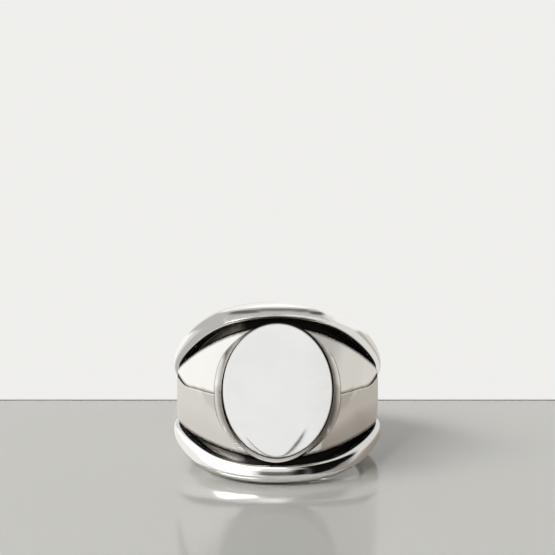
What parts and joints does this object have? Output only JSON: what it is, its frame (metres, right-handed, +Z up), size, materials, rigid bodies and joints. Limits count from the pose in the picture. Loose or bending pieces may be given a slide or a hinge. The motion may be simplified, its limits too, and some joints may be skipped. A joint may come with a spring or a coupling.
{
  "type": "signet ring",
  "caption": "Wide silver signet ring with a plain flat oval seal on a flared pedestal, domed shoulders and half-round rims set off by blackened grooves.",
  "frame": {"origin": "on the surface that the ring lies on, under the middle of its bounding box", "axes": "+Z up, +X to the right as the seal is seen, the seal faces -Y and a little up, the finger axis leans towards +Y"},
  "size_m": [0.0254, 0.0282, 0.0211],
  "materials": {
    "polished_silver": "hand-polished sterling silver, blackened down in the grooves beside the rims",
    "satin_silver": "satin sterling silver seal face"
  },
  "bodies": {
    "root": {"finger_sleeve": "polished_silver", "upper_rim_wire": "polished_silver", "lower_rim_wire": "polished_silver", "left_shoulder": "polished_silver", "right_shoulder": "polished_silver", "face_pedestal": "polished_silver", "signet_plate": "satin_silver"}
  },
  "joints": []
}
